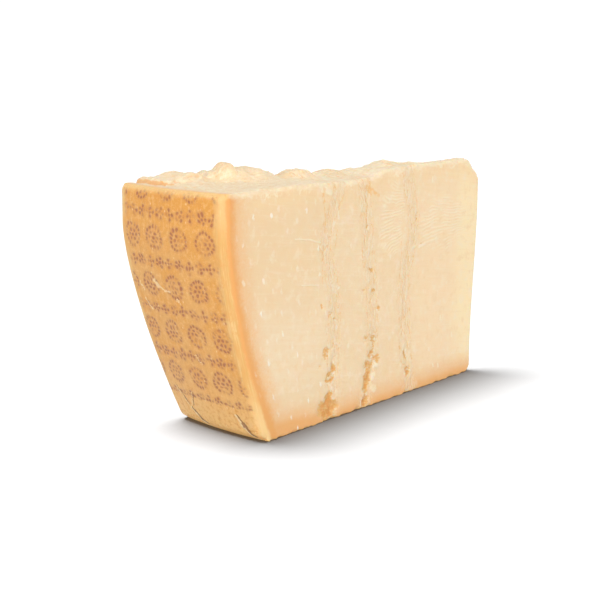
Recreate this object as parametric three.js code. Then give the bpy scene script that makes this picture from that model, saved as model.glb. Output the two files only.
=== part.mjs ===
// A chunk of hard grating cheese, in millimetres with +Z up, standing on its flat underside.
// It is a narrow wedge out of the lower half of a drum-shaped wheel. The rounded rind is the
// -X end and the wheel's middle was at the thin +X tip. The two cut faces run along the sides,
// the near one towards -Y, and the top is broken because the wheel was split open there.
//
// Every point is worked out from three measures: `s`, the distance from the tip along a cut
// face, `side`, from -1 on the far cut face to 1 on the near one, and `z`, the height.

import * as THREE from 'three';
import { ImprovedNoise } from 'three/addons/math/ImprovedNoise.js';
import { mergeVertices } from 'three/addons/utils/BufferGeometryUtils.js';

// ---- Driving dimensions ----

const WHEEL_RADIUS = 217; // of the whole wheel, where it is widest
const CHUNK_HEIGHT = 110; // half the height of the wheel
const WEDGE_ANGLE = THREE.MathUtils.degToRad(18.2);
const TIP_RADIUS = 10; // the tip broke off this far from the wheel's middle, so it is blunt
const CUT_LENGTH = WHEEL_RADIUS - TIP_RADIUS;

// Rind: upright where the wheel is widest and drawn in towards the underside
const BULGE_HEIGHT = 93;
const FOOT_INSET = 29;
const FOOT_SKEW = 2; // drawn in by this much less at the near cut, and more at the far one
const BULGE_POWER = 1.44;
const INSET_START = 140; // nearer the tip than this, points don't follow the drawn-in rind
const RIM = { radius: 4.5, power: 2 }; // round edge between rind and underside
const CUT_BEVEL = { radius: 3.4, power: 1.25 }; // upright edges between rind and cut faces
const TOP_BEVEL = { radius: 2.6, power: 1.6 }; // upper edge of the rind
const RIND_STRIP = 6; // smooth rind that shows round the outer edge of the top

// Tip: it leans out at the top and both of its ends are chipped
const TIP_LEAN = { foot: 1.5, top: -3.7, from: 10, to: 92, reach: 40 };
const TIP_FOOT_CHIP = { height: 3.5, depth: 3 };
const TIP_TOP_CHIP = { length: 12, height: 9 };

// Top: a ledge near the middle, a shallow dip behind it and mounds of broken paste
const LEDGE = { rise: 1.9, from: 84, to: 94 };
const DIP = { at: 113, length: 26, depth: 1.5 };
const MOUNDS = [
  { s: 183, side: -0.78, length: 17, width: 0.9, rise: 2.5, edge: 0.88 },
  { s: 182, side: -0.6, length: 10, width: 0.6, rise: 1.8, edge: 0.2 },
  { s: 166, side: -0.5, length: 9, width: 0.5, rise: 3.8, edge: 0.5 },
  { s: 160, side: -0.3, length: 11, width: 0.5, rise: 4.2, edge: 0.35 },
  { s: 147, side: -0.45, length: 16, width: 0.7, rise: 5.2, edge: 0.15 },
  { s: 123, side: -0.35, length: 11, width: 0.6, rise: 3, edge: 0.45 },
  { s: 101, side: -0.35, length: 16, width: 0.7, rise: 1.2, edge: 0.3 },
  { s: 67, side: -0.2, length: 12, width: 0.8, rise: 1.6, edge: 0.2 },
  { s: 86, side: -0.9, length: 14, width: 0.9, rise: -2, edge: 0.1 },
  { s: 38, side: -1, length: 32, width: 1.7, rise: -1.8, edge: 0.1 },
  { s: 110, side: -1, length: 16, width: 0.4, rise: -2.5, edge: 0.1 },
  { s: 152, side: -1, length: 12, width: 0.35, rise: -2, edge: 0.1 },
];
const CRAGS = [
  { size: 9, rise: 1.3 },
  { size: 4.5, rise: 0.7 },
];

// Cut faces: three upright bands where the paste tore. Each path gives `s` at even steps up
// the face, and the far face has the same bands the other way up.
const TEARS = [
  { path: [130, 128, 127, 134, 123], width: 5, depth: 1.5 },
  { path: [101, 95, 96, 100, 103], width: 5, depth: 1.8 },
  { path: [60, 66, 67, 59, 65], width: 5.5, depth: 1 },
];
const PITS = [
  { s: 131, z: 7, length: 4.5, height: 5.5, depth: 2.6 },
  { s: 98, z: 17, length: 3.2, height: 10, depth: 2 },
  { s: 131, z: 23, length: 3, height: 4, depth: 1.2 },
  { s: 98, z: 104, length: 4, height: 6, depth: 1.2 },
];
const FACE_RIPPLE = { length: 34, height: 26, depth: 0.5 };

// Grid lines over the solid: coarse on plain stretches, close at edges and tears
const PLAIN_STEP = 7.2;
const TEAR_STEP = 3.2;
const TEAR_REACH = 10;
const EDGE_STEP = 1.7;
const SIDE_STEPS = 8;
const SIDE_BEVEL_STEPS = 2;
const HEIGHT_STEPS = 19;
const RIM_STEP = 2.6;

// ---- Helpers ----

const noise = new ImprovedNoise();
const { smoothstep, lerp } = THREE.MathUtils;
const rippleOf = (x, y, layer) => noise.noise(x + 0.37, y + 0.71, layer + 0.5);
const bell = (x) => Math.exp(-x * x);

// Value at `share` (0 to 1) of a list of evenly spaced values, eased from one to the next
function along(values, share) {
  const place = THREE.MathUtils.clamp(share, 0, 1) * (values.length - 1);
  const first = Math.min(Math.floor(place), values.length - 2);
  return lerp(values[first], values[first + 1], smoothstep(place - first, 0, 1));
}

// How far a point that lies `a` and `b` inside two faces moves in to round their edge off
function roundEdge(a, b, { radius, power }) {
  const p = Math.max(0, radius - a);
  const q = Math.max(0, radius - b);
  const reach = (p ** power + q ** power) ** (1 / power);
  const pull = reach > 0 ? 1 - Math.max(p, q) / reach : 0;
  return [p * pull, q * pull];
}

// ---- Shape of the chunk ----

function rindRadius(z, side) {
  const below = Math.max(0, BULGE_HEIGHT - z) / BULGE_HEIGHT;
  return WHEEL_RADIUS - (FOOT_INSET - FOOT_SKEW * side) * below ** BULGE_POWER;
}

function tipShift(z) {
  const lean = lerp(TIP_LEAN.foot, TIP_LEAN.top, smoothstep(z, TIP_LEAN.from, TIP_LEAN.to));
  return lean + TIP_FOOT_CHIP.depth * Math.max(0, 1 - z / TIP_FOOT_CHIP.height);
}

// Distance from the wheel's middle of the point `s` from the tip, at height z
function radiusAt(s, z, side) {
  const tipShare = Math.max(0, 1 - s / TIP_LEAN.reach);
  const rindShare = Math.max(0, s - INSET_START) / (CUT_LENGTH - INSET_START);
  const inset = (WHEEL_RADIUS - rindRadius(z, side)) * rindShare;
  return TIP_RADIUS + s + tipShift(z) * tipShare - inset;
}

// 1 in the middle of a mound and 0 outside; a high `edge` makes it flat with steep flanks
function moundShape({ s, side, length, width, edge }, atS, atSide) {
  const away = Math.hypot((atS - s) / length, (atSide - side) / width);
  return 1 - smoothstep(away, edge, 1);
}

// 0 on the smooth rind strip, low along the near cut and by the tip, up to 1 over the rest
function brokenness(s, side) {
  const inside = 1 - smoothstep(s, CUT_LENGTH - RIND_STRIP - 3, CUT_LENGTH - RIND_STRIP);
  const fromTip = lerp(0.4, 1, smoothstep(s, 40, 90));
  return inside * fromTip * (1 - 0.75 * smoothstep(side, 0.1, 0.5));
}

function topHeight(s, side) {
  let z = CHUNK_HEIGHT;
  z += LEDGE.rise * (1 - smoothstep(s, LEDGE.from, LEDGE.to));
  z -= DIP.depth * bell((s - DIP.at) / DIP.length);
  for (const mound of MOUNDS) {
    z += mound.rise * moundShape(mound, s, side);
  }
  const across = side * (s + TIP_RADIUS) * Math.sin(WEDGE_ANGLE / 2);
  CRAGS.forEach(({ size, rise }, layer) => {
    z += rise * rippleOf(s / size, across / size, layer) * brokenness(s, side);
  });
  const chipped = Math.max(0, 1 - s / TIP_TOP_CHIP.length);
  return z - TIP_TOP_CHIP.height * chipped;
}

// Depth of the relief on a cut face, `face` being 1 on the near one and -1 on the far one
function cutRelief(s, z, face) {
  const share = z / CHUNK_HEIGHT;
  const upTheBand = face > 0 ? share : 1 - share;
  const { length, height } = FACE_RIPPLE;
  let depth = FACE_RIPPLE.depth * rippleOf(s / length, z / height, 3 * face);
  TEARS.forEach((tear, index) => {
    const away = (s - along(tear.path, upTheBand)) / tear.width;
    const ragged = 1 + 0.9 * rippleOf(s / 5, z / 9, 7 * face + index);
    depth += tear.depth * ragged * bell(away);
  });
  for (const pit of PITS) {
    const pitZ = face > 0 ? pit.z : CHUNK_HEIGHT - pit.z;
    depth += pit.depth * bell(Math.hypot((s - pit.s) / pit.length, (z - pitZ) / pit.height));
  }
  return depth * smoothstep(s, 8, 40);
}

// Where the grid point (s, side, share of the height) lies in the wheel's own frame
function place(s, side, heightShare) {
  const top = topHeight(s, side);
  let z = heightShare * top;
  let radius = radiusAt(s, z, side);
  const fromRind = Math.max(0, rindRadius(z, side) - radius);
  const halfWidth = radius * Math.sin(WEDGE_ANGLE / 2);
  const fromCut = (1 - Math.abs(side)) * halfWidth;
  const [rimIn, rimUp] = roundEdge(fromRind, z, RIM);
  const [topIn, topDown] = roundEdge(fromRind, top - z, TOP_BEVEL);
  const [bevelIn, bevelAcross] = roundEdge(fromRind, fromCut, CUT_BEVEL);
  const relief = cutRelief(s, z, Math.sign(side) || 1) * side * side;
  radius -= rimIn + topIn + bevelIn;
  z += rimUp - topDown;
  const across = (Math.abs(side) * halfWidth - bevelAcross - relief) * Math.sign(side);
  return [-Math.sqrt(Math.max(0, radius ** 2 - across ** 2)), -across, z];
}

// ---- Grid lines ----

// From 0 to `length` in steps that `stepAt` gives, stretched to end exactly at `length`
function gridLines(length, stepAt) {
  const lines = [0];
  while (lines.at(-1) < length) {
    lines.push(lines.at(-1) + stepAt(lines.at(-1)));
  }
  return lines.map((line) => (line * length) / lines.at(-1));
}

function lengthStep(s) {
  const toEnd = Math.min(s, CUT_LENGTH - s);
  const inTear = TEARS.some(({ path }) => Math.abs(s - path[2]) < TEAR_REACH);
  const step = inTear ? TEAR_STEP : PLAIN_STEP;
  return Math.min(step, EDGE_STEP + 0.2 * toEnd);
}

function sideLines() {
  const bevel = (CUT_BEVEL.radius / (WHEEL_RADIUS * Math.sin(WEDGE_ANGLE / 2))) * 1.1;
  const half = [];
  for (let i = 0; i < SIDE_STEPS / 2; i += 1) {
    half.push(((1 - bevel) * i) / (SIDE_STEPS / 2));
  }
  for (let i = 0; i <= SIDE_BEVEL_STEPS; i += 1) {
    half.push(1 - bevel + (bevel * i) / SIDE_BEVEL_STEPS);
  }
  const mirrored = half.slice(1).reverse().map((side) => -side);
  return [...mirrored, ...half];
}

function heightLines() {
  const plain = CHUNK_HEIGHT / HEIGHT_STEPS;
  const step = (z) => (z < RIM.radius || z > CHUNK_HEIGHT - TOP_BEVEL.radius * 1.5 ? RIM_STEP : plain);
  return gridLines(CHUNK_HEIGHT, step).map((z) => z / CHUNK_HEIGHT);
}

// ---- The solid ----

function chunkGeometry() {
  const lengths = gridLines(CUT_LENGTH, lengthStep);
  const sides = sideLines();
  const heights = heightLines();
  const counts = [lengths.length - 1, sides.length - 1, heights.length - 1];
  const box = new THREE.BoxGeometry(1, 1, 1, ...counts);
  box.deleteAttribute('normal');
  box.deleteAttribute('uv');
  const points = box.getAttribute('position');
  const lineOf = (axis, index) => Math.round((points.getComponent(index, axis) + 0.5) * counts[axis]);
  for (let i = 0; i < points.count; i += 1) {
    // The box's +X end becomes the tip and its -Y side the near cut face
    const s = lengths[counts[0] - lineOf(0, i)];
    const side = sides[counts[1] - lineOf(1, i)];
    points.setXYZ(i, ...place(s, side, heights[lineOf(2, i)]));
  }
  const solid = mergeVertices(box);
  solid.computeBoundingBox();
  const middle = solid.boundingBox.getCenter(new THREE.Vector3());
  solid.translate(-middle.x, -middle.y, -solid.boundingBox.min.z);
  solid.computeVertexNormals();
  return solid;
}

const pasteAndRind = new THREE.MeshStandardMaterial({ color: 0xf2d8b0, roughness: 0.55, metalness: 0 });

const chunk = new THREE.Mesh(chunkGeometry(), pasteAndRind);
chunk.name = 'cheese_chunk';

const part = new THREE.Group();
part.add(chunk);

export default part;
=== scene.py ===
"""The looks of a chunk of hard grating cheese.

It is a narrow wedge out of the lower half of a drum-shaped wheel, with the rind on its -X end
and the thin tip on its +X end. The wheel was split open across its middle, so the top is broken.

Lengths are millimetres up to the point where MM turns them into metres. As in the solid, a point
is worked out from `s`, its distance from the tip along a cut face, `side`, from -1 on the far cut
face to 1 on the near one, and `z`, its height.
"""
import math

import bmesh
import bpy
from mathutils import Euler, Matrix, Vector, noise


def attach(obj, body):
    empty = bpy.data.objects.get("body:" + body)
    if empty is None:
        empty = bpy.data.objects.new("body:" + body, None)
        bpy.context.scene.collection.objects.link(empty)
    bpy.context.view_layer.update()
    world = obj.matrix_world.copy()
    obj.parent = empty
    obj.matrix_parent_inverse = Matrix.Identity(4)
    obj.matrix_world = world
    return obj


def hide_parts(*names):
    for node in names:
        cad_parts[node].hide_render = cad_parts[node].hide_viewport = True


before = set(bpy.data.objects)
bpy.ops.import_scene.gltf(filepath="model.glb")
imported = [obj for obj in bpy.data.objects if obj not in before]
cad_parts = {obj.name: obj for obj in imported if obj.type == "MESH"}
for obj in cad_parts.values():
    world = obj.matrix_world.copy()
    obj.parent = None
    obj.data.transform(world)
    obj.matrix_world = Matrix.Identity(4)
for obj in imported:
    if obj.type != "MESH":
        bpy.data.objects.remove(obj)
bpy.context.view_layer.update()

MM = 0.001


# ---- Driving dimensions of the chunk ----

# As in the solid, but for some of the mounds, the tip's upper chip and the pits, which are finer

WHEEL_RADIUS = 217
CHUNK_HEIGHT = 110
HALF_ANGLE = math.radians(18.2 / 2)
TIP_RADIUS = 10
CUT_LENGTH = WHEEL_RADIUS - TIP_RADIUS
WHEEL_AXIS_X = 111.6  # from the middle of the chunk's box to the middle of the wheel

BULGE_HEIGHT = 93
FOOT_INSET = 29
FOOT_SKEW = 2
BULGE_POWER = 1.44
INSET_START = 140

RIM = dict(radius=4.5, power=2)
CUT_BEVEL = dict(radius=3.4, power=1.25)
TOP_BEVEL = dict(radius=2.6, power=1.6)
RIND_STRIP = 6

TIP_LEAN = dict(foot=1.5, top=-3.7, start=10, end=92, reach=40)
TIP_FOOT_CHIP = dict(height=3.5, depth=3)
TIP_TOP_CHIP = dict(length=13, height=9.5, power=1.6)

LEDGE = dict(rise=1.9, start=84, end=94)
DIP = dict(at=113, length=26, depth=1.5)

# The raised block by the rind, whose flat top ends in a straight riser
BLOCK = dict(at=183, at_side=-0.78, length=15, width=0.44, rise=2.5, edge=0.93, squareness=6)
BLOCK_FRONT = BLOCK["at"] + BLOCK["length"]

# Mounds of broken paste: s, side, length along s, width in side, rise, how far their flat top goes
MOUNDS = [
    (182, -0.6, 10, 0.6, 1.8, 0.2),
    (165, -0.52, 7.5, 0.5, 3.8, 0.6),
    (160, -0.36, 10, 0.45, 4, 0.35),
    (147, -0.45, 16, 0.7, 5.2, 0.15),
    (123, -0.35, 11, 0.6, 3, 0.45),
    (101, -0.35, 16, 0.7, 1.2, 0.3),
    (67, -0.2, 12, 0.8, 1.6, 0.2),
    (86, -0.9, 14, 0.9, -2, 0.1),
    (38, -1, 32, 1.7, -1.8, 0.1),
    (110, -1, 16, 0.4, -2.5, 0.1),
    (152, -1, 12, 0.35, -2, 0.1),
]

# Smaller lumps and dents of the top: s, side, length, width, rise
LUMPS = [
    (194, -0.95, 4.5, 0.35, -1.1),
    (170.5, -0.64, 4, 0.22, -2.8),
    (164.5, -0.5, 2.5, 0.2, 0.9),
    (160.5, -0.5, 2, 0.15, -0.7),
    (154.5, -0.38, 2.6, 0.18, -1.5),
    (142.5, -0.35, 3.5, 0.22, -1),
    (127.5, -0.58, 3.5, 0.25, -1.2),
    (121, -0.35, 6, 0.45, 1.2),
    (99, -0.5, 4, 0.35, 1.1),
    (83, -0.85, 4, 0.3, 0.5),
    (81, -0.25, 4, 0.25, -0.8),
    (74, -0.75, 4.5, 0.5, -1.7),
    (67, -0.4, 4, 0.4, 0.5),
    (54, 0.4, 5, 0.5, 0.8),
    (5.5, 0.9, 3, 0.9, -1.2),
]

# Torn bands: s at even steps up the near cut face. The far face has them the other way up.
TEARS = [
    dict(path=(130, 128, 127, 134, 123), width=5, depth=1.5),
    dict(path=(101, 95, 96, 100, 103), width=5, depth=1.8),
    dict(path=(60, 66, 67, 59, 65), width=5.5, depth=1),
]

# Pits in the bands, and crumbs that stand out: s, z, half length, half height, depth
PITS = [
    (137.3, 53.4, 0.9, 1.7, 0.9), (130.3, 49.8, 2.2, 0.9, 0.8), (127.4, 46.9, 1.3, 0.8, 0.7),
    (133.2, 42, 1, 2, 0.5), (133.5, 32.5, 2.4, 2.3, 0.9), (139, 26.5, 1.4, 1, 0.5),
    (127.5, 23.5, 2.2, 1.4, 1), (130.5, 19.7, 3, 1.8, 1.1), (131.2, 11, 1.8, 2.6, 1.4),
    (133, 6.3, 5.5, 3.4, 2), (125.7, 6.3, 2, 1.7, 1.3), (131, 2, 3, 1.8, 1.7),
    (97.5, 66, 1.8, 1.2, 1), (103.3, 57, 1.5, 1, 0.6), (93.7, 54.7, 2.5, 1.1, 0.6),
    (90.3, 46, 1.8, 1.1, 0.8), (101, 32.6, 1.4, 1.2, 0.8), (93.7, 31.3, 3, 1.6, 0.6),
    (96, 25.2, 2, 1.5, 1.2), (92.3, 23.2, 2.6, 1.1, 1.1), (89.6, 21.6, 1.6, 1, 1),
    (98.7, 20, 3.5, 2, 1.4), (98.7, 14.2, 2.8, 2.4, 1.5), (100.3, 10.5, 2.4, 2.2, 1.4),
    (101.2, 3.4, 2.6, 1.6, 1.3), (92, 18.8, 1.8, 1.6, -0.7), (94.8, 13.8, 1.8, 1.8, -0.8),
    (94, 8, 2.2, 2, -0.4), (125, 12.5, 1.8, 1.6, -0.4), (65, 20.5, 1.1, 2.6, 0.7),
    (63, 10.8, 2.2, 1.8, 1.2), (57, 87, 0.8, 3, 0.6), (52.5, 72.8, 2.2, 0.8, 0.6),
]

FACE_RIPPLE = dict(length=34, height=26, depth=0.5)
CRUMB_EDGE = dict(radius=1.5, power=1.6)  # small crumbled edges along the cut faces
HOLLOW_SHARE = 0.36  # how much of the pits and cracks is cut; the rest is painted shade in the colour
RISER_ORANGE = 2  # how strongly the raised block's riser is painted in the crust's orange
HIGHEST_CRAG = 15  # no crag stands higher above the plain top


# ---- Numbers ----

def clamp(x):
    return min(1.0, max(0.0, x))


def smooth(x, low, high):
    share = clamp((x - low) / (high - low))
    return share * share * (3 - 2 * share)


def blend(a, b, share):
    return a + (b - a) * share


def bell(x):
    return math.exp(-x * x)


def ripple(x, y, layer):
    return noise.noise(Vector((x + 0.37, y + 0.71, layer + 0.5)), noise_basis="PERLIN_NEW")


def roughly(x, y, layer):
    """Fine-grained noise of four sizes, from about -1 to 1."""
    return noise.fractal(Vector((x, y, layer)), 1.0, 2.0, 4, noise_basis="PERLIN_NEW")


def grains(x, y, layer):
    """Grains one unit across: a number for the grain, and how far inside its edge a point is."""
    near, points = noise.voronoi(Vector((x, y, layer)))
    own = noise.noise(points[0] * 7.3)
    return own, near[1] - near[0]


def along(values, share):
    """The value at a share, 0 to 1, of a list of evenly spaced values."""
    place = clamp(share) * (len(values) - 1)
    first = min(int(place), len(values) - 2)
    return blend(values[first], values[first + 1], smooth(place - first, 0, 1))


def round_edge(a, b, radius, power):
    """How far a point that lies a and b inside two faces moves in to round their edge off."""
    p = max(0.0, radius - a)
    q = max(0.0, radius - b)
    reach = (p**power + q**power) ** (1 / power)
    pull = 1 - max(p, q) / reach if reach > 0 else 0
    return p * pull, q * pull


# ---- Shape of the chunk ----

def rind_radius(z, side):
    below = max(0.0, BULGE_HEIGHT - z) / BULGE_HEIGHT
    return WHEEL_RADIUS - (FOOT_INSET - FOOT_SKEW * side) * below**BULGE_POWER


def tip_shift(z):
    lean = blend(TIP_LEAN["foot"], TIP_LEAN["top"], smooth(z, TIP_LEAN["start"], TIP_LEAN["end"]))
    return lean + TIP_FOOT_CHIP["depth"] * max(0.0, 1 - z / TIP_FOOT_CHIP["height"])


def radius_at(s, z, side):
    """Distance from the wheel's middle of the point s from the tip, at height z."""
    tip_share = max(0.0, 1 - s / TIP_LEAN["reach"])
    rind_share = max(0.0, s - INSET_START) / (CUT_LENGTH - INSET_START)
    inset = (WHEEL_RADIUS - rind_radius(z, side)) * rind_share
    return TIP_RADIUS + s + tip_shift(z) * tip_share - inset


def mound_height(s, side):
    height = 0
    for at, at_side, length, width, rise, edge in MOUNDS:
        away = math.hypot((s - at) / length, (side - at_side) / width)
        height += rise * (1 - smooth(away, edge, 1))
    return height


def raised_block(s, side):
    """How much of the raised block and of its riser is there, 0 to 1."""
    power = BLOCK["squareness"]
    along_it = abs((s - BLOCK["at"]) / BLOCK["length"])
    across = max(0, side - BLOCK["at_side"]) / BLOCK["width"] + 0.06 * ripple(s / 3, side * 6, 81)
    away = (along_it**power + across**power) ** (1 / power)
    riser = smooth(away, 0.94, 0.99) * (1 - smooth(away, 1.03, 1.08)) * smooth(s, 190, 195)
    return 1 - smooth(away, BLOCK["edge"], 1.02), riser


def brokenness(s, side):
    """0 on the smooth rind strip, low along the near cut and by the tip, 1 over the rest."""
    inside = 1 - smooth(s, CUT_LENGTH - RIND_STRIP - 3, CUT_LENGTH - RIND_STRIP)
    return inside * blend(0.4, 1, smooth(s, 40, 90)) * (1 - 0.7 * smooth(side, 0.1, 0.5))


def crag(s, across):
    """Broken paste on the top: lumps, grains and crumbs, as a height and as a share of recess."""
    own, inside = grains(s / 5.5, across / 5.5, 3)
    small_own, small_inside = grains(s / 2.4, across / 2.4, 8)
    height = 0.8 * ripple(s / 9, across / 9, 0)
    height += 1.1 * own * smooth(inside, 0, 0.6)
    height += 0.6 * small_own * smooth(small_inside, 0, 0.5)
    height += 0.3 * roughly(s / 3, across / 3, 5)
    gap = (1 - smooth(inside, 0, 0.3)) * 0.6 + (1 - smooth(small_inside, 0, 0.3)) * 0.4
    return height, gap


def top_height(s, side):
    """Height of the top, and how deep its crags lie there."""
    z = CHUNK_HEIGHT + LEDGE["rise"] * (1 - smooth(s, LEDGE["start"], LEDGE["end"]))
    z -= DIP["depth"] * bell((s - DIP["at"]) / DIP["length"])
    block, riser = raised_block(s, side)
    z += mound_height(s, side) + BLOCK["rise"] * block
    for at, at_side, length, width, rise in LUMPS:
        z += rise * bell(math.hypot((s - at) / length, (side - at_side) / width))
    across = side * (s + TIP_RADIUS) * math.sin(HALF_ANGLE)
    broken = brokenness(s, side)
    height, gap = crag(s, across)
    strip = 1 - smooth(s, CUT_LENGTH - RIND_STRIP - 2, CUT_LENGTH - RIND_STRIP)
    z += height * broken + 0.45 * roughly(s / 4, across / 4, 71) * strip
    chipped = max(0.0, 1 - s / TIP_TOP_CHIP["length"])
    z -= TIP_TOP_CHIP["height"] * chipped ** TIP_TOP_CHIP["power"]
    return z, gap * broken + RISER_ORANGE * riser


def torn_share(s, up_the_band):
    """How much of the cut face is torn there, 0 to 1."""
    share = 0
    for tear in TEARS:
        away = (s - along(tear["path"], up_the_band)) / tear["width"]
        share = max(share, bell(away / 1.15))
    return share


def crack_depth(s, z, up_the_band):
    """Winding cracks down the middle of the torn bands, open in their lower half."""
    depth = 0
    for index, tear in enumerate(TEARS):
        middle = along(tear["path"], up_the_band) + 2.2 * ripple(z / 7, index, 11)
        open_share = smooth(ripple(z / 9, index, 21) + 0.9 * (0.35 - up_the_band), -0.05, 0.45)
        depth = max(depth, tear["depth"] * 0.3 * open_share * bell((s - middle) / 1.1))
    return depth


def pit_depth(s, z):
    """Pits, softly edged; where it is below 0, a crumb stands out."""
    warped_s = s + 1.4 * roughly(s / 3.6, z / 3.6, 31)
    warped_z = z + 1.6 * roughly(s / 3.6, z / 3.6, 41)
    depth = 0
    for at, height, half_length, half_height, deepest in PITS:
        away = math.hypot((warped_s - at) / half_length, (warped_z - height) / half_height)
        if away < 2:
            depth += deepest * (1 - smooth(away, 0.4, 1.8))
    return depth


def flake_depth(s, z, face):
    """Upright flakes of torn paste, some standing proud and some fallen out."""
    own, inside = grains(s / 3.4 + 0.4 * ripple(s / 3, z / 5, 61), z / 7, 13 * face)
    sliver = 1 - 2 * abs(ripple(s / 1.7, z / 13, 17 * face))
    rough = roughly(s / 2.2, z / 3.4, 19 * face)
    return 0.28 * own * smooth(inside, 0, 0.25) + 0.1 * sliver + 0.18 * rough


def cut_relief(s, z, face):
    """Depth of the relief on a cut face, how torn it is there, and how deep its hollows are."""
    share = z / CHUNK_HEIGHT
    up_the_band = share if face > 0 else 1 - share
    band_z = z if face > 0 else CHUNK_HEIGHT - z
    length, height = FACE_RIPPLE["length"], FACE_RIPPLE["height"]
    depth = FACE_RIPPLE["depth"] * ripple(s / length, z / height, 3 * face)
    for index, tear in enumerate(TEARS):
        away = (s - along(tear["path"], up_the_band)) / tear["width"]
        ragged = 1 + 0.9 * ripple(s / 5, z / 9, 7 * face + index)
        depth += 0.08 * tear["depth"] * ragged * bell(away)
    torn = torn_share(s, up_the_band)
    flake = flake_depth(s, z, face) * blend(1, 0.4, smooth(band_z, 22, 50))
    hollow = crack_depth(s, band_z, up_the_band) + pit_depth(s, band_z)
    fade = smooth(s, 8, 40)
    return (depth + torn * flake + HOLLOW_SHARE * hollow) * fade, torn * fade, hollow * fade


def crumbled_edge(s, side):
    """The rounding of a crumbled edge there, more worn in some places than in others."""
    wear = 0.75 + 0.9 * ripple(s / 5, side, 51) + 0.5 * ripple(s / 1.8, side, 57)
    return dict(radius=CRUMB_EDGE["radius"] * max(0.3, wear), power=CRUMB_EDGE["power"])


def place(s, side, height_share):
    """Where the grid point lies, in metres, and what the material has to know about it."""
    top, gap = top_height(s, side)
    z = height_share * top
    radius = radius_at(s, z, side)
    from_rind = max(0.0, rind_radius(z, side) - radius)
    half_width = radius * math.sin(HALF_ANGLE)
    from_cut = (1 - abs(side)) * half_width
    below_top = top - z
    face = 1 if side >= 0 else -1
    relief, torn, hollow = cut_relief(s, z, face)

    rim_in, rim_up = round_edge(from_rind, z, **RIM)
    top_in, top_down = round_edge(from_rind, below_top, **TOP_BEVEL)
    bevel_in, bevel_across = round_edge(from_rind, from_cut, **CUT_BEVEL)
    edge = crumbled_edge(s, side)
    edge_in, edge_down = round_edge(from_cut, below_top, **edge)
    foot_in, foot_up = round_edge(from_cut, z, **edge)
    tip_in, tip_down = round_edge(s, below_top, **CRUMB_EDGE)

    arc = math.asin(side * math.sin(HALF_ANGLE)) * rind_radius(z, side)
    traits = dict(
        edges=(from_rind, from_cut, s),
        levels=(z, below_top, gap),
        relief=(torn, hollow * side * side, face),
        rind_place=(arc, rind_rise(z), 0),
    )

    radius += tip_in - rim_in - top_in - bevel_in
    z += rim_up + foot_up - top_down - edge_down - tip_down
    across = abs(side) * half_width - bevel_across - edge_in - foot_in - relief * side * side
    across = math.copysign(max(0.0, across), side)
    x = WHEEL_AXIS_X - math.sqrt(max(0.0, radius**2 - across**2))
    return Vector((x, -across, max(0.0, z))) * MM, traits


RISE_STEP = 1.0


def rise_table():
    """Lengths of the rind's curve from the underside up to every step of height."""
    rises = [0.0]
    while len(rises) * RISE_STEP < CHUNK_HEIGHT + HIGHEST_CRAG:
        height = len(rises) * RISE_STEP
        outward = rind_radius(height, 0) - rind_radius(height - RISE_STEP, 0)
        rises.append(rises[-1] + math.hypot(RISE_STEP, outward))
    return rises


RISES = rise_table()


def rind_rise(z):
    """Length of the rind's curve from the underside up to height z."""
    step = min(int(z / RISE_STEP), len(RISES) - 2)
    return blend(RISES[step], RISES[step + 1], z / RISE_STEP - step)


# ---- Grid ----

# Sizes of the grid's cells along the cut and up it. They are smallest at the chunk's edges.
PLAIN_CELL = 1.4
TEAR_CELL = 0.56
BLOCK_CELL = 0.7
BLOCK_MARGIN = 2.5  # how far the close cells go on either side of the block's front
HEIGHT_CELL = 1.05
LOW_HEIGHT_CELL = 0.66
LOW_PART = 36  # height up to which the bands' pits need close cells
EDGE_CELL = 0.35
LENGTH_GROWTH = 0.12
HEIGHT_GROWTH = 0.15

# Lines across the chunk from its middle to a cut face: plain ones, then close ones by the face
PLAIN_LINES = 18
CLOSE_LINES = 8
CLOSE_SHARE = 0.115


def grid_lines(length, step_at):
    """Lines from 0 to a length, with the steps between them that step_at gives."""
    lines = [0.0]
    while lines[-1] < length:
        lines.append(lines[-1] + step_at(lines[-1]))
    return [line * length / lines[-1] for line in lines]


def length_step(s):
    in_tear = any(min(tear["path"]) - 4 < s < max(tear["path"]) + 5 for tear in TEARS)
    step = TEAR_CELL if in_tear else PLAIN_CELL
    if abs(s - BLOCK_FRONT) < BLOCK_MARGIN:
        step = BLOCK_CELL
    return min(step, EDGE_CELL + LENGTH_GROWTH * min(s, CUT_LENGTH - s))


def height_step(z):
    step = LOW_HEIGHT_CELL if z < LOW_PART else HEIGHT_CELL
    return min(step, EDGE_CELL + HEIGHT_GROWTH * min(z, CHUNK_HEIGHT - z))


def side_lines():
    """Lines from one cut face to the other, -1 to 1."""
    plain = 1 - CLOSE_SHARE
    half = [plain * i / PLAIN_LINES for i in range(PLAIN_LINES)]
    half += [plain + CLOSE_SHARE * i / (CLOSE_LINES - 1) for i in range(CLOSE_LINES)]
    return [-side for side in reversed(half[1:])] + half


def cut_evenly(mesh, axis, parts):
    """Cuts every edge that runs along an axis, and the faces between them, into even parts."""
    running = []
    for edge in mesh.edges:
        first, second = edge.verts
        if abs(first.co[axis] - second.co[axis]) > 0.5:
            running.append(edge)
    bmesh.ops.subdivide_edges(mesh, edges=running, cuts=parts - 1, use_grid_fill=True)


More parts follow.
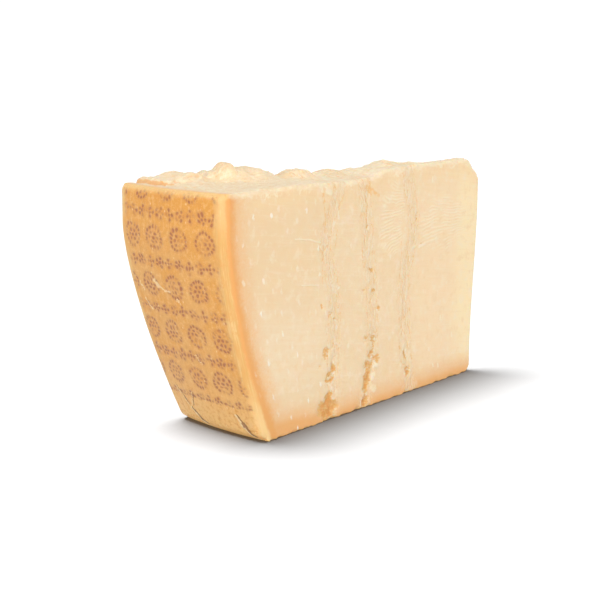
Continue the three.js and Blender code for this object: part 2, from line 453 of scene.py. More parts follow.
def chunk_mesh():
    """A cube cut into a fine grid, whose points are moved to where the chunk has them."""
    lengths = grid_lines(CUT_LENGTH, length_step)
    sides = side_lines()
    heights = [z / CHUNK_HEIGHT for z in grid_lines(CHUNK_HEIGHT, height_step)]
    counts = [len(lengths) - 1, len(sides) - 1, len(heights) - 1]
    mesh = bmesh.new()
    bmesh.ops.create_cube(mesh, size=1)
    for axis, parts in enumerate(counts):
        cut_evenly(mesh, axis, parts)
    layers = {}
    for name in ("edges", "levels", "relief", "rind_place"):
        layers[name] = mesh.verts.layers.float_vector.new(name)
    for vert in mesh.verts:
        line = [round((vert.co[axis] + 0.5) * counts[axis]) for axis in range(3)]
        s = lengths[counts[0] - line[0]]
        side = sides[counts[1] - line[1]]
        vert.co, traits = place(s, side, heights[line[2]])
        for name, value in traits.items():
            vert[layers[name]] = value
    bmesh.ops.recalc_face_normals(mesh, faces=mesh.faces)
    for face in mesh.faces:
        face.smooth = True
    finished = bpy.data.meshes.new("cheese")
    mesh.to_mesh(finished)
    mesh.free()
    return finished


# ---- Nodes ----

def colour(red, green, blue):
    """A colour as a picture shows it, 0 to 255, for a node."""
    shares = [value / 255 for value in (red, green, blue)]
    linear = [v / 12.92 if v <= 0.04045 else ((v + 0.055) / 1.055) ** 2.4 for v in shares]
    return (*linear, 1)


class Signal:
    """A number, place or colour that runs through a material's nodes."""

    def __init__(self, tree, socket):
        self.tree = tree
        self.socket = socket

    def __add__(self, other):
        return math_node(self.tree, "ADD", self, other)

    def __sub__(self, other):
        return math_node(self.tree, "SUBTRACT", self, other)

    def __rsub__(self, other):
        return math_node(self.tree, "SUBTRACT", other, self)

    def __mul__(self, other):
        return math_node(self.tree, "MULTIPLY", self, other)

    def __truediv__(self, other):
        return math_node(self.tree, "DIVIDE", self, other)

    __radd__ = __add__
    __rmul__ = __mul__

    def least(self, other):
        return math_node(self.tree, "MINIMUM", self, other)

    def most(self, other):
        return math_node(self.tree, "MAXIMUM", self, other)

    def fraction(self):
        return math_node(self.tree, "FRACT", self)

    def whole(self):
        return math_node(self.tree, "FLOOR", self)

    def size(self):
        return math_node(self.tree, "ABSOLUTE", self)

    def step(self, low, high):
        """0 below low, 1 above high, smooth between; the other way round if low is the higher."""
        made = new_node(self.tree, "ShaderNodeMapRange", {
            "Value": self, "From Min": low, "From Max": high}, interpolation_type="SMOOTHSTEP")
        return Signal(self.tree, made.outputs["Result"])


def feed(tree, socket, value):
    if isinstance(value, Signal):
        tree.links.new(value.socket, socket)
    else:
        socket.default_value = value


def new_node(tree, kind, inputs, **settings):
    made = tree.nodes.new(kind)
    for name, value in settings.items():
        setattr(made, name, value)
    for name, value in inputs.items():
        feed(tree, made.inputs[name], value)
    return made


def math_node(tree, operation, *values):
    made = new_node(tree, "ShaderNodeMath", dict(enumerate(values)), operation=operation)
    return Signal(tree, made.outputs[0])


def distance(tree, x, y):
    """Length of the way x across and y up."""
    return math_node(tree, "SQRT", x * x + y * y)


def vector(tree, x, y, z):
    made = new_node(tree, "ShaderNodeCombineXYZ", {0: x, 1: y, 2: z})
    return Signal(tree, made.outputs[0])


def parts_of(tree, name):
    """The three numbers that the mesh keeps under a name."""
    kept = new_node(tree, "ShaderNodeAttribute", {}, attribute_name=name)
    parted = new_node(tree, "ShaderNodeSeparateXYZ", {0: Signal(tree, kept.outputs["Vector"])})
    return [Signal(tree, parted.outputs[i]) for i in range(3)]


def mottle(tree, at, scale, detail=2, roughness=0.5):
    """Soft noise from 0 to 1 with `scale` blotches to the unit of `at`."""
    made = new_node(tree, "ShaderNodeTexNoise", {
        "Vector": at, "Scale": scale, "Detail": detail, "Roughness": roughness})
    return Signal(tree, made.outputs["Fac"])


def cells(tree, at, scale):
    """Flat cells: how far a place is from its cell's middle, and a number for the cell, 0 to 1."""
    made = new_node(tree, "ShaderNodeTexVoronoi", {"Vector": at, "Scale": scale},
                    voronoi_dimensions="2D")
    own = new_node(tree, "ShaderNodeSeparateColor", {0: Signal(tree, made.outputs["Color"])})
    return Signal(tree, made.outputs["Distance"]), Signal(tree, own.outputs[0])


def tint(tree, first, second, share):
    """Goes from the first colour to the second as share goes from 0 to 1."""
    made = new_node(tree, "ShaderNodeMix", {}, data_type="RGBA")
    for index, value in ((0, share), (6, first), (7, second)):
        feed(tree, made.inputs[index], value)
    return Signal(tree, made.outputs[2])


# ---- Rind ----

RIND = colour(230, 172, 97)
RIND_AMBER = colour(229, 158, 64)
RIND_PALE = colour(242, 193, 124)
RIND_DARK = colour(208, 142, 80)
RIND_EDGE = colour(240, 176, 100)
SCUFF_AND_LIP_HIGHLIGHT = colour(248, 216, 164)
PIN_MARK = colour(176, 108, 74)
PIN_SHADE = colour(204, 142, 92)
GROOVE_SHADE = colour(140, 86, 58)

BAND_PITCH = 21.8  # one row of medallions and one border of rosettes and crosses
MEDALLION = dict(row=6.4, pitch=15.6, rings=((4.8, 15), (2.3, 6)))
BORDER = dict(row=17, pitch=6.24, radius=1.9)
DOT_RADIUS = 0.8
MARKS_START = 17  # up from the underside

# Incised grooves, and pale scuffs: arc and rise of both ends, half width
GROOVES = [
    (-12.8, 10, -9.5, 5.9, 0.5), (-9.5, 5.9, -5.3, 2.5, 0.7),
    (18.6, 12.5, 20.6, 8.3, 0.45), (20.6, 8.3, 25.3, 1.9, 0.8),
    (-19.9, 20.4, -14.4, 11.3, 0.22), (-7.9, 19.2, -11.2, 11.5, 0.2),
]
SCUFFS = [
    (-12.8, 73.5, -10.5, 71.2, 0.9), (-10.5, 71.2, -5.5, 69.8, 0.6), (-5.5, 69.8, -3, 69.5, 0.35),
    (-24.5, 72, -22, 68, 0.35), (-23, 64, -19.5, 59, 0.45), (0.5, 66.5, 2.5, 64.5, 0.3),
    (3, 40, 6, 36, 0.3),
]


def segment_away(tree, arc, rise, ends):
    """Distance from a straight line that runs between two places."""
    x1, y1, x2, y2 = ends
    run, climb = x2 - x1, y2 - y1
    x, y = arc - x1, rise - y1
    share = ((x * run + y * climb) / (run**2 + climb**2)).most(0).least(1)
    return distance(tree, x - share * run, y - share * climb)


def marks_along(tree, arc, rise, lines, wobble):
    """1 on the lines and 0 away from them."""
    mark = None
    for *ends, half_width in lines:
        away = segment_away(tree, arc + wobble, rise + wobble * 0.7, ends)
        one = away.step(half_width * 1.5, half_width * 0.5)
        mark = one if mark is None else mark.most(one)
    return mark


def ring_of_dots(tree, x, y, radius, dots):
    """Distance from the nearest of the dots on a ring."""
    angle = math_node(tree, "ARCTAN2", y, x)
    turn = ((angle * (dots / math.tau)) + 0.5).fraction() - 0.5
    return distance(tree, distance(tree, x, y) - radius, turn * (math.tau * radius / dots))


def pin_pattern(tree, arc, rise):
    """Distance from the nearest pin mark: rows of dotted medallions between dotted borders."""
    band = rise / BAND_PITCH
    shift = (band.whole() * 0.5).fraction()
    up = band.fraction() * BAND_PITCH

    x = ((arc / MEDALLION["pitch"] + shift).fraction() - 0.5) * MEDALLION["pitch"]
    y = up - MEDALLION["row"]
    away = distance(tree, x, y)
    for radius, dots in MEDALLION["rings"]:
        away = away.least(ring_of_dots(tree, x, y, radius, dots))

    column = arc / BORDER["pitch"] + shift
    every_other = (column.whole() * 0.5).fraction() * 2
    x = (column.fraction() - 0.5) * BORDER["pitch"]
    y = up - BORDER["row"]
    rosette = ring_of_dots(tree, x, y, BORDER["radius"], 5)
    cross = ring_of_dots(tree, x, y, BORDER["radius"], 4)
    border = rosette * every_other + cross * (1 - every_other)
    return away.least(border).least(distance(tree, x, y))


def pin_marks(tree, arc, rise, flat, pores):
    """The pin marks, unevenly pressed, and the shade round them."""
    wobble_x = mottle(tree, flat, 0.13, 2) - 0.5
    wobble_y = mottle(tree, vector(tree, arc, rise, 9), 0.13, 2) - 0.5
    away = pin_pattern(tree, arc + wobble_x * 4, rise + wobble_y * 4)
    pressed = mottle(tree, flat, 0.16, 3, 0.6).step(0.36, 0.56) * 0.75 + 0.25
    pressed = pressed * rise.step(MARKS_START - 1.5, MARKS_START)
    pressed = pressed * (pores.step(0.25, 0.5) * 0.5 + 0.5)
    dot = away.step(DOT_RADIUS * 1.25, DOT_RADIUS * 0.55) * pressed
    halo = away.step(DOT_RADIUS * 2.6, DOT_RADIUS * 0.9) * pressed
    return dot, halo


def scratches(tree, arc, rise, flat):
    """The grooves, painted dark as shade, their pale lips, painted highlights on one side of them, and
    the scuffs.
    """
    scratch_wobble = (mottle(tree, flat, 0.35, 3, 0.7) - 0.5) * 3
    groove = marks_along(tree, arc, rise, GROOVES, scratch_wobble)
    lip_highlight = marks_along(tree, arc + 1.1, rise + 0.2, GROOVES, scratch_wobble)
    scuff = marks_along(tree, arc, rise, SCUFFS, scratch_wobble * 1.4)
    return groove, lip_highlight, scuff


def rind_look(tree, traits):
    """Colour and relief height, in millimetres, of the smooth outer rind."""
    arc, rise = traits["arc"], traits["rise"]
    flat = vector(tree, arc, rise, 0)
    streaks = mottle(tree, vector(tree, arc, rise * 0.12, 4), 0.9, 3, 0.6)
    wide = mottle(tree, flat, 0.06, 3, 0.55)
    spots = mottle(tree, flat, 0.45, 4, 0.65)
    pores = mottle(tree, flat, 2.2, 3, 0.6)
    dot, halo = pin_marks(tree, arc, rise, flat, pores)
    groove, lip_highlight, scuff = scratches(tree, arc, rise, flat)
    near_fleck, own_fleck = cells(tree, vector(tree, arc, rise * 0.7, 0), 0.22)
    flecks = near_fleck.step(0.1, 0.04) * own_fleck.step(0.6, 0.95)
    low = rise.step(34, 6)

    amber = (wide.step(0.42, 0.6) * 0.6).most(rise.step(78, 112) * 0.75)
    pale = (spots.step(0.5, 0.66) * 0.6).most(spots.step(0.34, 0.54) * low)
    look = tint(tree, RIND, RIND_AMBER, amber)
    look = tint(tree, look, RIND_PALE, pale)
    look = tint(tree, look, RIND_DARK, spots.step(0.45, 0.28) * 0.5)
    look = tint(tree, look, RIND_PALE, streaks.step(0.54, 0.68) * 0.4)
    look = tint(tree, look, RIND_DARK, streaks.step(0.44, 0.3) * 0.3)
    look = tint(tree, look, RIND_DARK, pores.step(0.44, 0.3) * 0.5)
    look = tint(tree, look, RIND_PALE, pores.step(0.55, 0.7) * 0.6)
    look = tint(tree, look, PIN_SHADE, halo * 0.5)
    look = tint(tree, look, PIN_MARK, dot * 0.8)
    look = tint(tree, look, RIND_EDGE, rise.step(5, 1) * 0.6)
    # Pale scuffs and flecks, and painted highlights on the grooves' lips
    look = tint(tree, look, SCUFF_AND_LIP_HIGHLIGHT, lip_highlight.most(scuff).most(flecks * 0.8) * 0.85)
    # Painted shade in the grooves
    look = tint(tree, look, GROOVE_SHADE, groove * 0.75)

    height = (spots - 0.5) * 0.22 + (pores - 0.5) * 0.1 + (streaks - 0.5) * 0.08
    height = height - dot * 0.22 - groove * 0.6 + lip_highlight * 0.15 - scuff * 0.1
    return look, height


# ---- Paste ----

PASTE = colour(240, 213, 173)
PASTE_WARM = colour(239, 206, 160)
PASTE_PALE = colour(246, 226, 196)
PASTE_TOP = colour(245, 223, 188)
PASTE_UNDER_TOP = colour(245, 212, 163)
PASTE_ROSY = colour(248, 218, 177)
# Pale for crumbled rims, crumbs and scrapes, and painted highlights on crests, flakes and the knife's
# ridges
PASTE_RIM_AND_HIGHLIGHT = colour(250, 232, 200)
PAINTED_TIP_GLOW = colour(251, 226, 181)
CRUST = colour(236, 172, 102)
CRUST_PALE = colour(240, 194, 142)
BEVEL = colour(230, 180, 109)
BEVEL_DEEP = colour(231, 171, 97)
BEVEL_PALE_AND_HIGHLIGHT = colour(243, 206, 145)
# Painted shade, warm as shade looks in the translucent paste, for pits, cracks, flake edges and
# recesses
HOLLOW_SHADE = colour(241, 188, 116)
HOLLOW_DEEP_SHADE = colour(226, 156, 82)
CRYSTAL = colour(254, 247, 234)

# Where the knife shuddered: s, height up the cut, half length, half height, slope of the ridges,
# how they fan out
CHATTER = [(79, 86, 11, 21, 0.1, 0.03), (32, 81, 22, 14, 0.05, 0.012)]
CHATTER_SPACING = 1.7

# Pale scrapes, chips and specks on the cut faces, two of them (s 48 to 60, height 72) painted
# highlights, and cracks, painted in the warm shade of hollows: s and height up the cut of both ends,
# half width
SCRAPES = [
    (158, 86.5, 147, 85.2, 0.3), (147, 85.2, 138, 82.8, 0.35), (154, 65.5, 140, 64, 0.25),
    (60, 71.5, 57, 72.5, 0.6), (54, 71.5, 48, 72.5, 0.7), (42, 102.5, 42, 104.5, 0.6),
    (38, 9, 38.5, 10, 0.6), (33, 8, 33.3, 9.3, 0.6), (20, 21.5, 20, 23.5, 0.5), (32, 32, 32, 34, 0.5),
    (125.5, 100, 123.5, 92, 0.35), (69.5, 66, 68.5, 58, 0.4), (133.5, 105.5, 130.5, 104.5, 1.3),
]
CRACKS = [
    (101.5, 99, 101, 80, 0.35), (136.5, 103, 134, 90, 0.3), (134, 90, 136.5, 78, 0.25),
    (137, 70, 136.5, 64, 0.3), (125, 88, 126.5, 78, 0.25), (68, 52, 67, 38, 0.25),
    (71, 76, 70, 66, 0.25), (104, 76, 103, 66, 0.25),
    (100, 104, 96, 102, 1.7), (96, 102, 91, 100, 0.9), (137, 105, 136, 101, 0.9),
]


def chatter(tree, traits):
    """Fine ridges that the knife left on the cut faces, where it shuddered."""
    s, z, at = traits["s"], traits["up_the_cut"], traits["at"]
    wave = (mottle(tree, at, 0.06, 2, 0.5) - 0.5) * 7
    ragged = (mottle(tree, at, 0.12, 2) - 0.5) * 1.3
    ridges = None
    for middle, height, half_length, half_height, slope, fan in CHATTER:
        across = (z + (s - middle) * ((height - z) * fan + slope) + wave) / CHATTER_SPACING
        ridge = 1 - (across.fraction() - 0.5).size().step(0.1, 0.42)
        away = distance(tree, (s - middle) / half_length, (z - height) / half_height)
        ridge = ridge * (away + ragged).step(1.1, 0.7)
        ridges = ridge if ridges is None else ridges.most(ridge)
    broken = mottle(tree, vector(tree, s * 0.3, z, 5), 0.35, 2).step(0.34, 0.52)
    return ridges * broken * traits["below_top"].step(0.5, 2)


def flake_lines(tree, traits, shift):
    """Thin upright lines round the torn flakes."""
    wobble = (mottle(tree, traits["at"], 0.4, 3, 0.7) - 0.5) * 3
    at = vector(tree, traits["s"] + wobble + shift, traits["height"] * 0.36 + wobble * 0.4, 0)
    made = new_node(tree, "ShaderNodeTexVoronoi", {"Vector": at, "Scale": 0.34},
                    voronoi_dimensions="2D", feature="DISTANCE_TO_EDGE")
    open_here = mottle(tree, at, 0.3, 1).step(0.4, 0.58)
    return Signal(tree, made.outputs["Distance"]).step(0.1, 0.02) * open_here


def crystals(tree, traits):
    """Small white upright crystals, most of them in the half by the rind: clear ones and faint ones."""
    warp = (mottle(tree, traits["at"], 0.6, 2) - 0.5) * 3
    across, up = traits["s"] + warp, traits["height"] * 0.6 + warp * 0.5
    near, own = cells(tree, vector(tree, across, up, 0), 0.085)
    clear = near.step(0.095, 0.03) * own.step(0.3, 0.7)
    near, own = cells(tree, vector(tree, across, up, 0), 0.14)
    faint = near.step(0.17, 0.05) * own.step(0.35, 0.9) * 0.45
    by_rind = traits["s"].step(95, 165) * 0.8 + 0.2
    return clear.most(faint) * by_rind * traits["below_top"].step(2, 5)


def paste_colours(tree, traits, noises):
    """Colours of the clean paste, without its torn bands."""
    clouds, blotches, crumbs, knife = noises
    below_top, s = traits["below_top"], traits["s"]
    high = traits["up_the_cut"].step(35, 75)
    warm = (clouds.step(0.46, 0.64) * 0.5).most(s.step(125, 185) * high * 0.6)
    low_by_rind = s.step(125, 150) * (1 - high) * traits["height"].step(16, 30)
    look = tint(tree, PASTE, PASTE_WARM, warm)
    look = tint(tree, look, PASTE_PALE, low_by_rind * 0.3)
    look = tint(tree, look, PASTE_ROSY, s.step(110, 30) * 0.75)
    # Painted glow by the thin tip, as of light shining through it
    look = tint(tree, look, PAINTED_TIP_GLOW, (s + (clouds - 0.5) * 20).step(26, 9) * 0.95)
    look = tint(tree, look, PASTE_UNDER_TOP, below_top.step(16, 2) * 0.6)
    look = tint(tree, look, PASTE_PALE, blotches.step(0.52, 0.7) * 0.5)
    look = tint(tree, look, PASTE_WARM, blotches.step(0.47, 0.3) * 0.5)
    look = tint(tree, look, PASTE_PALE, knife.step(0.52, 0.7) * 0.28)
    look = tint(tree, look, PASTE_WARM, knife.step(0.46, 0.3) * 0.25)
    patches = mottle(tree, traits["at"], 0.1, 3, 0.6).step(0.42, 0.6)
    rim = traits["from_cut"].most(below_top) + (crumbs - 0.5) * 14
    return tint(tree, look, PASTE_RIM_AND_HIGHLIGHT, rim.step(3.6, 0.6) * (patches * 0.6 + 0.35))


def top_colours(tree, traits, look, crumbs):
    """The broken top, with its crumbs and ledges, painted highlights on their crests and painted shade
    in their recesses, and their relief height in millimetres.
    """
    on_top, s = traits["below_top"].step(2.5, 0.4), traits["s"]
    ledges = mottle(tree, vector(tree, s * 0.3, traits["from_cut"], traits["height"]), 0.5, 4, 0.65)
    raised = traits["height"].step(112.5, 118)
    ground = tint(tree, PASTE_TOP, PASTE_WARM, (s.step(120, 165) * 0.3).most(raised * 0.9))
    crest_highlights = crumbs.most(ledges).step(0.5, 0.64) * (0.85 - raised * 0.65)
    recess_shade = crumbs.least(ledges).step(0.44, 0.26) * 0.5
    look = tint(tree, look, ground, on_top * 0.85)
    # Painted highlights on the crests, and painted shade in the recesses
    look = tint(tree, look, PASTE_RIM_AND_HIGHLIGHT, on_top * crest_highlights)
    look = tint(tree, look, HOLLOW_SHADE, on_top * recess_shade)
    return look, on_top * ((crumbs - 0.5) * 0.7 + (ledges - 0.5) * 0.8)


def torn_colours(tree, traits, look, grain):
    """The torn bands, with their relief height in millimetres."""
    torn, s, z = traits["torn"], traits["s"], traits["height"]
    frayed = torn.step(0.25, 0.75)
    scraps = mottle(tree, vector(tree, s, z * 0.45, 6), 0.75, 4, 0.65)
    crumbly = mottle(tree, vector(tree, s * 0.55, z, 9), 0.5, 5, 0.72) - 0.5
    # Painted light and shade on the flakes: a line in painted shade, and a shifted copy of it as a
    # painted highlight
    flake_edge = flake_lines(tree, traits, 0) * frayed
    flake_highlight = flake_lines(tree, traits, 0.45) * frayed
    at_edge = (torn + (scraps - 0.5) * 1.3 - 0.55).size()
    ragged_edge = at_edge.step(0.1, 0.02) * crumbly.step(-0.06, 0.05)
    look = tint(tree, look, PASTE_ROSY, frayed * 0.35)
    look = tint(tree, look, PASTE_PALE, torn * scraps.step(0.5, 0.62) * 0.8)
    look = tint(tree, look, PASTE_UNDER_TOP, torn * scraps.step(0.48, 0.37) * 0.8)
    look = tint(tree, look, PASTE_RIM_AND_HIGHLIGHT, flake_highlight * 0.7)
    look = tint(tree, look, HOLLOW_SHADE, (flake_edge * 0.55).most(ragged_edge * 0.5))
    # Painted shade in the pits and in specks over the bands, darker where the pits are deeper
    pit = traits["hollow"]
    hollow = pit * 0.9 + crumbly * (torn.step(0.1, 0.6) * 4.2 + pit.step(0, 0.5) * 3.8)
    look = tint(tree, look, HOLLOW_SHADE, hollow.step(0.45, 0.85) * 0.85)
    look = tint(tree, look, HOLLOW_DEEP_SHADE, hollow.step(1.1, 2.0) * 0.8)
    # Pale crumbs that stand out, and painted highlights inside the pits where their painted shade is
    # light
    crumb_and_highlight = (crumbly - pit).step(0.1, 0.5) * pit.step(0, -0.3)
    crumb_and_highlight = crumb_and_highlight.most(hollow.step(0.3, -0.3) * pit.step(0.2, 0.5))
    look = tint(tree, look, PASTE_RIM_AND_HIGHLIGHT, crumb_and_highlight * 0.9)
    height = (grain - 0.5) * (torn * 0.2 + 0.1) + (scraps - 0.5) * torn * 0.7 - flake_edge * 0.12
    return look, height - hollow.step(0.4, 1.5) * 0.16


def add_crust(tree, traits, look, inward):
    """The orange crust that the paste has by the rind and over the underside."""
    at, height, s = traits["at"], traits["height"], traits["s"]
    upward = height + (mottle(tree, at, 0.12, 3) - 0.5) * 3 - s.step(120, 190) * 4
    fine = (mottle(tree, at, 0.9, 3, 0.7) - 0.5) * 11
    pale = (inward + fine).step(20, 5).most((upward + fine * 0.5).step(13.5, 3))
    full = (inward + fine * 0.4).step(9, 3.5).most(upward.step(5.5, 1) * 0.75)
    look = tint(tree, look, CRUST_PALE, pale)
    return tint(tree, look, CRUST, full)


def knife_marks(tree, traits, look):
    """Marks of the knife and of handling on the cut faces, with their relief height."""
    at, s, z = traits["at"], traits["s"], traits["up_the_cut"]
    on_cut = traits["from_cut"].step(6, 3)
    wobble = (mottle(tree, at, 0.3, 3, 0.6) - 0.5) * 2.5
    frayed = mottle(tree, at, 0.7, 3, 0.7).step(0.38, 0.56) * on_cut
    crack = marks_along(tree, s, z, CRACKS, wobble * 1.6) * frayed
    scrape = marks_along(tree, s, z, SCRAPES, wobble * 0.4) * on_cut
    ridge = chatter(tree, traits) * on_cut
    # Painted shade in the cracks
    look = tint(tree, look, HOLLOW_SHADE, crack * 0.7)
    # The knife's ridges painted pale as highlights; the scrapes pale, two of them painted highlights
    look = tint(tree, look, PASTE_RIM_AND_HIGHLIGHT, (ridge * 0.55).most(scrape * 0.75))
    return look, ridge * 0.08 + scrape * 0.1 - crack * 0.05


def paste_look(tree, traits, inward):
    """Colour and relief height of the cut and broken paste."""
    at, s, z = traits["at"], traits["s"], traits["height"]
    clouds = mottle(tree, at, 0.035, 3, 0.55)
    blotches = mottle(tree, at, 0.22, 3, 0.6)
    grain = mottle(tree, at, 1.4, 3, 0.6)
    knife = mottle(tree, vector(tree, s * 0.05, (z - s * 0.13) * 0.75, 3), 1, 3, 0.6)
    crumbs = mottle(tree, at, 0.42, 3, 0.65)
    look = paste_colours(tree, traits, (clouds, blotches, crumbs, knife))
    look, top_relief = top_colours(tree, traits, look, crumbs)
    look = add_crust(tree, traits, look, inward)
    look, torn_height = torn_colours(tree, traits, look, grain)
    # Only the raised block's riser has a gap share above 1; it is painted orange here
    look = tint(tree, look, CRUST, traits["gap"].step(1.05, 1.8) * 0.75)
    look, mark_height = knife_marks(tree, traits, look)
    white = crystals(tree, traits) * (inward.step(3, 18) * 0.75 + 0.25)
    look = tint(tree, look, CRYSTAL, white * 0.7)
    height = (blotches - 0.5) * 0.25 + (knife - 0.5) * 0.1 + white * 0.1
    return look, height + torn_height + mark_height + top_relief


def bevel_look(tree, traits):
    """Colour of the smooth strip that the knife left between rind and cut face."""
    inward, across = traits["from_rind"], traits["from_cut"]
    lines = mottle(tree, vector(tree, across, inward, traits["height"] * 0.05), 1.0, 4, 0.7)
    patches = mottle(tree, traits["at"], 0.16, 4, 0.7)
    look = tint(tree, BEVEL, BEVEL_PALE_AND_HIGHLIGHT, lines.step(0.48, 0.62) * 0.75)
    look = tint(tree, look, BEVEL_DEEP, lines.step(0.48, 0.34) * 0.7)
    look = tint(tree, look, BEVEL_DEEP, patches.step(0.5, 0.62) * 0.6)
    # The strip is painted paler towards its bottom and its top, as a highlight on it
    ends = (traits["height"].step(34, 6) * 0.9).most(traits["below_top"].step(22, 6) * 0.5)
    return tint(tree, look, BEVEL_PALE_AND_HIGHLIGHT, ends)


def chunk_traits(tree):
    """What the mesh knows about each of its places, in millimetres."""
    from_rind, from_cut, s = parts_of(tree, "edges")
    height, below_top, gap = parts_of(tree, "levels")
    torn, hollow, face = parts_of(tree, "relief")
    arc, rise = parts_of(tree, "rind_place")[:2]
    coordinates = tree.nodes.new("ShaderNodeTexCoord")
    scaled = new_node(tree, "ShaderNodeVectorMath", {
        0: Signal(tree, coordinates.outputs["Object"]), "Scale": 1 / MM}, operation="SCALE")
    at = Signal(tree, scaled.outputs[0])
    near = face.step(-0.5, 0.5)
    up_the_cut = height * near + (CHUNK_HEIGHT - height) * (1 - near)  # downwards on the far face
    return dict(
        at=at, from_rind=from_rind, from_cut=from_cut, s=s, height=height, up_the_cut=up_the_cut,
        below_top=below_top, gap=gap, torn=torn, hollow=hollow, arc=arc, rise=rise)


def cheese_look(tree):
    """Colour, relief height in millimetres and roughness of the whole chunk."""
    traits = chunk_traits(tree)
    at, from_rind, from_cut = traits["at"], traits["from_rind"], traits["from_cut"]
    height, below_top = traits["height"], traits["below_top"]
    wander = (mottle(tree, at, 0.14, 5, 0.7) - 0.5) * 6
    foot_shift = (45 - height).most(0) * 0.11
    on_top = below_top.step(3, 0.5)
    inward = from_rind * (on_top * 1.2 + 1) + on_top * 2 - foot_shift + wander
    edge = from_rind - from_cut * from_rind.step(1.2, 0.2) - foot_shift * 0.8 + wander * 0.8

    rind, rind_height = rind_look(tree, traits)
    paste, paste_height = paste_look(tree, traits, inward)
    inside = (edge - on_top * 1.5).step(0.2, 2.6)
    rounded = (below_top + wander * 0.7).step(3.6, 0.4) * 0.9
    look = tint(tree, rind, bevel_look(tree, traits), edge.step(-7.5, -3).most(rounded))
    look = tint(tree, look, paste, inside)
    plain_rind = tint(tree, RIND, RIND_PALE, mottle(tree, at, 0.2, 4).step(0.4, 0.65))
    look = tint(tree, look, plain_rind, height.step(0.5, 0.15))
    rind_share = edge.step(-3, -6)
    roughness = mottle(tree, at, 0.8, 3) * 0.16 - rind_share * 0.06 + 0.47
    return look, rind_height * rind_share + paste_height * inside, roughness


def cheese_material():
    """One material for the whole chunk: rind outside, crust under it, and paste inside."""
    material = bpy.data.materials.new("hard_cheese")
    material.use_nodes = True
    tree = material.node_tree
    tree.nodes.clear()
    look, relief, roughness = cheese_look(tree)
    bump = new_node(tree, "ShaderNodeBump", {"Strength": 1.0, "Distance": MM, "Height": relief})
    shader = new_node(tree, "ShaderNodeBsdfPrincipled", {
        "Base Color": look, "Roughness": roughness, "Normal": Signal(tree, bump.outputs["Normal"]),
        "IOR": 1.45, "Specular IOR Level": 0.4,
        "Subsurface Weight": 0.4, "Subsurface Radius": (1.0, 0.55, 0.28), "Subsurface Scale": 2.4 * MM})
    output = tree.nodes.new("ShaderNodeOutputMaterial")
    tree.links.new(shader.outputs["BSDF"], output.inputs["Surface"])
    return material


def make_chunk():
    piece = bpy.data.objects.new("cheese", chunk_mesh())
    bpy.context.scene.collection.objects.link(piece)
    piece.data.materials.append(cheese_material())
    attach(piece, "root")
    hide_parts("cheese_chunk")
    return piece


# ---- Studio, in metres ----

CAMERA_PLACE = (-0.5261, -0.4951, 0.1778)
CAMERA_HEADING = 44.60  # degrees from +X towards +Y
CAMERA_PITCH = 10.06  # degrees down
CAMERA_ROLL = 0.24
CAMERA_LENS = 92.82


def add_camera():
    data = bpy.data.cameras.new("camera")
    data.lens = CAMERA_LENS
    data.clip_end = 20
    camera = bpy.data.objects.new("camera", data)
    aim = Euler((math.radians(90 - CAMERA_PITCH), 0, math.radians(CAMERA_HEADING - 90)))
    turn = aim.to_matrix() @ Matrix.Rotation(math.radians(CAMERA_ROLL), 3, "Z")
    camera.matrix_world = Matrix.Translation(CAMERA_PLACE) @ turn.to_4x4()
    bpy.context.scene.collection.objects.link(camera)
    bpy.context.scene.camera = camera


TABLE_SHADE = 0.2  # share of light that the table gives back; its own strong light makes it white
TABLE_LIGHT = dict(strength=17, place=(-0.21, 0.17, 1.0), towards=(0, 0, 0))
TABLE_LIGHT_SPREAD = 32  # degrees
KEY_LIGHT = dict(strength=54, place=(-1.9, -1.9, 1.6), towards=(0, 0, 0.06))
KEY_SIZE = 1.5
SKY_LIGHT = 0.74  # how strongly the white sky lights the scene
SKY_SHOWN = 1.05  # how bright it looks


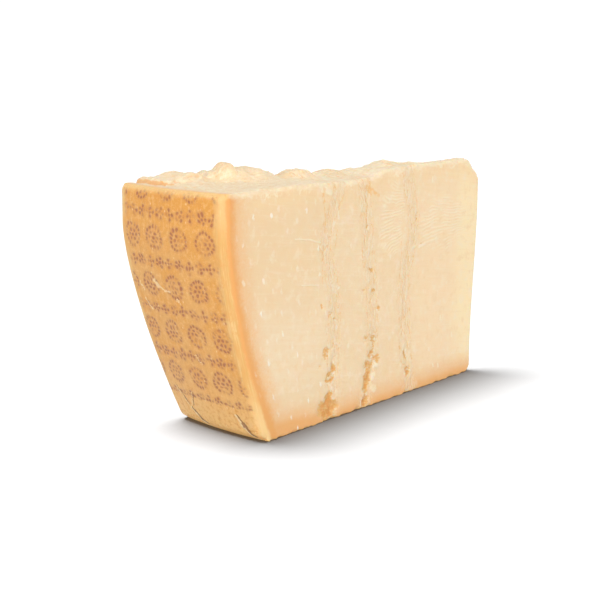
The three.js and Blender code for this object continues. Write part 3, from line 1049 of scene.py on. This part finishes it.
def floor_material():
    material = bpy.data.materials.new("pale_table")
    material.use_nodes = True
    tree = material.node_tree
    shader = tree.nodes["Principled BSDF"]
    coordinates = tree.nodes.new("ShaderNodeTexCoord")
    grain = mottle(tree, Signal(tree, coordinates.outputs["Object"]), 60, 4)
    darker, lighter = [(TABLE_SHADE * share,) * 3 + (1,) for share in (0.98, 1.02)]
    feed(tree, shader.inputs["Base Color"], tint(tree, darker, lighter, grain))
    shader.inputs["Roughness"].default_value = 0.9
    shader.inputs["Specular IOR Level"].default_value = 0.0
    return material


def make_floor():
    mesh = bmesh.new()
    bmesh.ops.create_grid(mesh, x_segments=4, y_segments=4, size=30)
    data = bpy.data.meshes.new("table")
    mesh.to_mesh(data)
    mesh.free()
    data.materials.append(floor_material())
    floor = bpy.data.objects.new("table", data)
    bpy.context.scene.collection.objects.link(floor)
    floor.visible_diffuse = False  # no dull light comes back from its shadow to the chunk
    return floor


def add_light(kind, name, lit, strength, place, towards, **settings):
    """A light at a place that shines towards another, on the object `lit` alone."""
    data = bpy.data.lights.new(name, kind)
    data.energy = strength
    for setting, value in settings.items():
        setattr(data, setting, value)
    light = bpy.data.objects.new(name, data)
    aim = (Vector(towards) - Vector(place)).to_track_quat("-Z", "Y")
    light.matrix_world = Matrix.Translation(place) @ aim.to_matrix().to_4x4()
    bpy.context.scene.collection.objects.link(light)
    receivers = bpy.data.collections.new(name + "_receivers")
    receivers.objects.link(lit)
    light.light_linking.receiver_collection = receivers


def add_sky():
    """An even white sky that lights the scene less than it shows."""
    world = bpy.data.worlds.new("studio")
    world.use_nodes = True
    tree = world.node_tree
    background = tree.nodes["Background"]
    background.inputs["Color"].default_value = (1, 1, 1, 1)
    seen = Signal(tree, tree.nodes.new("ShaderNodeLightPath").outputs["Is Camera Ray"])
    feed(tree, background.inputs["Strength"], seen * (SKY_SHOWN - SKY_LIGHT) + SKY_LIGHT)
    bpy.context.scene.world = world


def set_studio(chunk):
    floor = make_floor()
    add_sky()
    add_light("SUN", "table_light", floor, **TABLE_LIGHT, angle=math.radians(TABLE_LIGHT_SPREAD))
    add_light("AREA", "key", chunk, **KEY_LIGHT, shape="SQUARE", size=KEY_SIZE)
    bpy.context.scene.view_settings.view_transform = "Standard"


add_camera()
set_studio(make_chunk())
